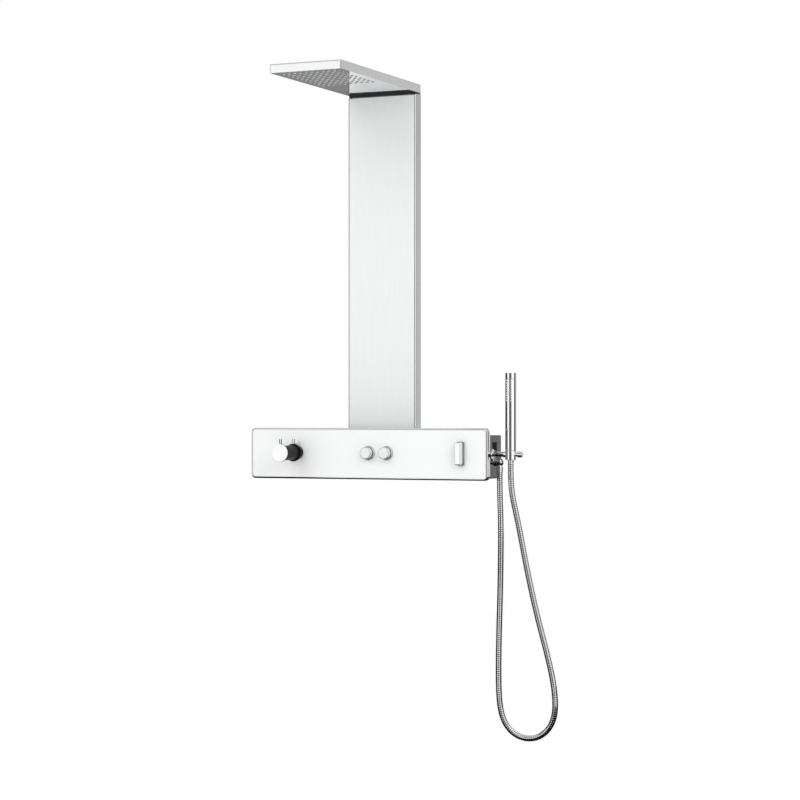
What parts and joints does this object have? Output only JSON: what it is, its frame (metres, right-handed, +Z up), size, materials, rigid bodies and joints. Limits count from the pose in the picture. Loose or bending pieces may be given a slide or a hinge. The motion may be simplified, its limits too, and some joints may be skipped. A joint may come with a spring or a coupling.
{
  "type": "shower panel column",
  "caption": "Wall-mounted shower column: a long console with mixer handles, buttons and lever, a flat riser column, an overhead rain plate, and a stick handset on a hose.",
  "frame": {"origin": "centre of the console's four wall bolts, in the wall plane", "axes": "+X to the user's right, +Y into the wall, +Z up; the front faces -Y"},
  "size_m": [0.7478, 0.4265, 1.5053],
  "materials": {
    "polished_steel": "polished",
    "satin_steel": "satin",
    "plain_steel": "zinc plated",
    "spring_steel": "bright",
    "chrome": "polished",
    "black_coating": "glossy black",
    "brass": "cast and turned",
    "rubber": "matte",
    "plastic": "moulded"
  },
  "bodies": {
    "panel": {"wall_plate": "plain_steel", "console_housing": "polished_steel", "console_trim_frame": "polished_steel", "console_front_panel": "satin_steel", "valve_body": "brass", "inlet_nuts": "brass", "side_outlet_block": "brass", "thermostatic_cartridge": "brass", "holder_rosette": "chrome", "holder_arm": "chrome", "holder_collar": "chrome", "holder_end_cap": "chrome", "outlet_elbow": "chrome", "hose_outlet_nut": "chrome", "hose": "chrome", "column_back_channel": "polished_steel", "column_front_cover": "polished_steel", "column_front_panel": "satin_steel", "riser_pipe": "brass", "pipe_clips": "plastic", "column_head_seal": "rubber", "head_top_shell": "polished_steel", "head_spray_plate": "polished_steel", "head_nozzles": "rubber", "head_water_chamber": "plastic", "head_inlet_block": "brass", "head_feed_duct": "brass", "button_spring_left": "spring_steel", "button_spring_right": "spring_steel"},
    "temperature": {"temperature_handle": "black_coating", "temperature_face_plate": "chrome", "temperature_pin": "chrome", "temperature_spindle": "brass"},
    "flow": {"flow_handle": "black_coating", "flow_pin": "chrome", "flow_sleeve": "brass"},
    "button_left": {"button_cap_left": "chrome"},
    "button_right": {"button_cap_right": "chrome"},
    "diverter": {"diverter_lever": "chrome", "diverter_spindle": "brass"},
    "hose_end": {"hose_top_ferrule": "chrome"},
    "handset": {"handset_body": "chrome", "handset_end_cap": "chrome", "handset_nozzles": "rubber", "hose_cone_nut": "chrome"}
  },
  "joints": [
    {"name": "temperature_turn", "type": "hinge", "parent": "panel", "child": "temperature", "pos_m": [-0.178, -0.125, 0.002], "axis": [0, 1, 0], "range_deg": [-120, 120]},
    {"name": "flow_turn", "type": "hinge", "parent": "panel", "child": "flow", "pos_m": [-0.178, -0.125, 0.002], "axis": [0, 1, 0], "range_deg": [-90, 90]},
    {"name": "button_left_press", "type": "slide", "parent": "panel", "child": "button_left", "axis": [0, 1, 0], "range_m": [0, 0.004], "stiffness_N_per_m": 600, "springref_m": -0.004, "deforming": ["button_spring_left"]},
    {"name": "button_right_press", "type": "slide", "parent": "panel", "child": "button_right", "axis": [0, 1, 0], "range_m": [0, 0.004], "stiffness_N_per_m": 600, "springref_m": -0.004, "deforming": ["button_spring_right"]},
    {"name": "diverter_turn", "type": "hinge", "parent": "panel", "child": "diverter", "pos_m": [0.235, -0.125, 0.002], "axis": [0, 1, 0], "range_deg": [-90, 90]},
    {"name": "hose_end_lift", "type": "slide", "parent": "panel", "child": "hose_end", "axis": [0, 0, 1], "range_m": [0, 0.03], "deforming": ["hose"]},
    {"name": "handset_swivel", "type": "hinge", "parent": "hose_end", "child": "handset", "pos_m": [0.334, -0.056, 0], "axis": [0, 0, 1], "continuous": true}
  ]
}
